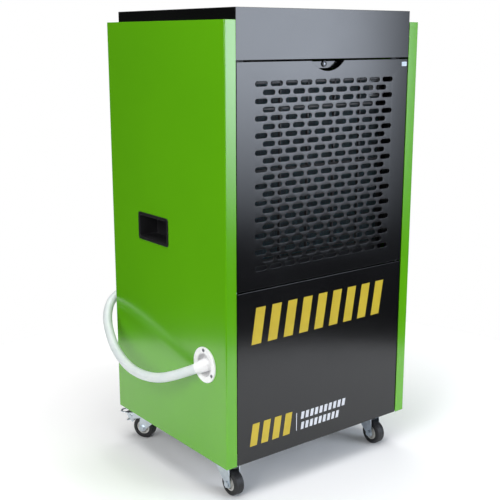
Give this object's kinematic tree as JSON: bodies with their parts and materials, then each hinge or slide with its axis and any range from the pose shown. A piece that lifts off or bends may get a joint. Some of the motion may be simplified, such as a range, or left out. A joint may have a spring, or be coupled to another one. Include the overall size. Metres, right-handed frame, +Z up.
{
  "type": "dehumidifier",
  "caption": "Upright cabinet dehumidifier on four swivel castors, black slotted front between thick green side covers, with a white side drain hose coiled behind.",
  "frame": {"origin": "floor level under the middle of the cabinet, half way between its side covers and between their front and back edges", "axes": "+X to the right seen from the front, +Y from the front to the back, +Z up"},
  "size_m": [0.5824, 0.711, 0.97],
  "materials": {
    "side_green": "gloss powder coat, lime green",
    "cabinet_black": "satin powder coat, black",
    "inner_black": "moulded, fine grain",
    "galvanised": "galvanised sheet, spangled",
    "zinc_plate": "bright blue zinc plating",
    "white_plastic": "moulded, glossy white",
    "hose_pvc": "soft PVC, white",
    "copper_tube": "drawn copper tube",
    "blue_fins": "hydrophilic-coated fins",
    "bare_fins": "bare fins",
    "tyre_rubber": "black rubber tread",
    "rim_grey": "moulded light grey",
    "rubber_black": "vibration mounts",
    "dark_paint": "gloss black shell paint",
    "motor_paint": "grey enamel",
    "window_glass": "smoked window",
    "circuit_green": "circuit board",
    "button_grey": "moulded light grey"
  },
  "bodies": {
    "cabinet": {"base_pan": "galvanised", "corner_posts": "inner_black", "mid_deck": "inner_black", "left_side_cover": "side_green", "right_side_cover": "side_green", "left_handle_cup": "inner_black", "right_handle_cup": "inner_black", "back_panel": "cabinet_black", "lower_front_panel": "cabinet_black", "lid": "cabinet_black", "outlet_grille": "inner_black", "control_panel": "inner_black", "display_window": "window_glass", "control_board": "circuit_green", "door_hinges": "zinc_plate", "air_filter": "inner_black", "evaporator_fins": "blue_fins", "condenser_fins": "bare_fins", "coil_end_plates": "galvanised", "coil_tubes": "copper_tube", "drip_tray": "inner_black", "drain_pipe": "white_plastic", "fan_scroll": "galvanised", "fan_motor": "motor_paint", "compressor": "dark_paint", "accumulator": "dark_paint", "compressor_feet": "rubber_black", "refrigerant_pipes": "copper_tube", "electrical_box": "galvanised", "hose_flange": "white_plastic", "flange_screws": "zinc_plate", "drain_hose": "hose_pvc", "hose_coil": "hose_pvc", "hose_clip": "inner_black", "power_gland": "inner_black", "panel_screws": "zinc_plate", "castor_plates": "zinc_plate", "castor_bolts": "zinc_plate"},
    "door": {"grille_door": "cabinet_black", "lock_bracket": "cabinet_black"},
    "cam_lock": {"door_lock": "zinc_plate"},
    "fan": {"fan_impeller": "inner_black"},
    "castor_front_left": {"fork_front_left": "zinc_plate"},
    "wheel_front_left": {"rim_front_left": "rim_grey", "tyre_front_left": "tyre_rubber"},
    "castor_front_right": {"fork_front_right": "zinc_plate"},
    "wheel_front_right": {"rim_front_right": "rim_grey", "tyre_front_right": "tyre_rubber"},
    "castor_rear_left": {"fork_rear_left": "zinc_plate"},
    "wheel_rear_left": {"rim_rear_left": "rim_grey", "tyre_rear_left": "tyre_rubber"},
    "castor_rear_right": {"fork_rear_right": "zinc_plate"},
    "wheel_rear_right": {"rim_rear_right": "rim_grey", "tyre_rear_right": "tyre_rubber"},
    "brake_left": {"pedal_left": "zinc_plate"},
    "brake_right": {"pedal_right": "zinc_plate"},
    "key_power": {"button_power": "button_grey"},
    "key_mode": {"button_mode": "button_grey"},
    "key_up": {"button_up": "button_grey"},
    "key_down": {"button_down": "button_grey"}
  },
  "joints": [
    {"name": "door_tilt", "type": "hinge", "parent": "cabinet", "child": "door", "pos_m": [0, -0.202, 0.4505], "axis": [1, 0, 0], "range_deg": [0, 25]},
    {"name": "lock_turn", "type": "hinge", "parent": "door", "child": "cam_lock", "pos_m": [0, -0.197, 0.8668], "axis": [0, -1, 0], "range_deg": [0, 90]},
    {"name": "fan_spin", "type": "hinge", "parent": "cabinet", "child": "fan", "pos_m": [0.058, 0, 0.647], "axis": [0, 1, 0], "continuous": true},
    {"name": "swivel_front_left", "type": "hinge", "parent": "cabinet", "child": "castor_front_left", "pos_m": [-0.203, -0.1415, 0.05], "axis": [0, 0, 1], "continuous": true},
    {"name": "roll_front_left", "type": "hinge", "parent": "castor_front_left", "child": "wheel_front_left", "pos_m": [-0.203, -0.1665, 0.026], "axis": [1, 0, 0], "continuous": true},
    {"name": "swivel_front_right", "type": "hinge", "parent": "cabinet", "child": "castor_front_right", "pos_m": [0.203, -0.1415, 0.05], "axis": [0, 0, 1], "continuous": true},
    {"name": "roll_front_right", "type": "hinge", "parent": "castor_front_right", "child": "wheel_front_right", "pos_m": [0.203, -0.1665, 0.026], "axis": [1, 0, 0], "continuous": true},
    {"name": "swivel_rear_left", "type": "hinge", "parent": "cabinet", "child": "castor_rear_left", "pos_m": [-0.1875, 0.163, 0.05], "axis": [0, 0, 1], "continuous": true},
    {"name": "roll_rear_left", "type": "hinge", "parent": "castor_rear_left", "child": "wheel_rear_left", "pos_m": [-0.19962, 0.18487, 0.026], "axis": [0.8746, 0.4848, 0], "continuous": true},
    {"name": "swivel_rear_right", "type": "hinge", "parent": "cabinet", "child": "castor_rear_right", "pos_m": [0.1875, 0.163, 0.05], "axis": [0, 0, 1], "continuous": true},
    {"name": "roll_rear_right", "type": "hinge", "parent": "castor_rear_right", "child": "wheel_rear_right", "pos_m": [0.1875, 0.188, 0.026], "axis": [1, 0, 0], "continuous": true},
    {"name": "brake_press_left", "type": "hinge", "parent": "castor_rear_left", "child": "brake_left", "pos_m": [-0.21387, 0.21058, 0.0516], "axis": [-0.8746, -0.4848, 0], "range_deg": [0, 12]},
    {"name": "brake_press_right", "type": "hinge", "parent": "castor_rear_right", "child": "brake_right", "pos_m": [0.1875, 0.2174, 0.0516], "axis": [-1, 0, 0], "range_deg": [0, 12]},
    {"name": "press_power", "type": "slide", "parent": "cabinet", "child": "key_power", "axis": [0, 0, -1], "range_m": [0, 0.001], "stiffness_N_per_m": 400},
    {"name": "press_mode", "type": "slide", "parent": "cabinet", "child": "key_mode", "axis": [0, 0, -1], "range_m": [0, 0.001], "stiffness_N_per_m": 400},
    {"name": "press_up", "type": "slide", "parent": "cabinet", "child": "key_up", "axis": [0, 0, -1], "range_m": [0, 0.001], "stiffness_N_per_m": 400},
    {"name": "press_down", "type": "slide", "parent": "cabinet", "child": "key_down", "axis": [0, 0, -1], "range_m": [0, 0.001], "stiffness_N_per_m": 400}
  ]
}
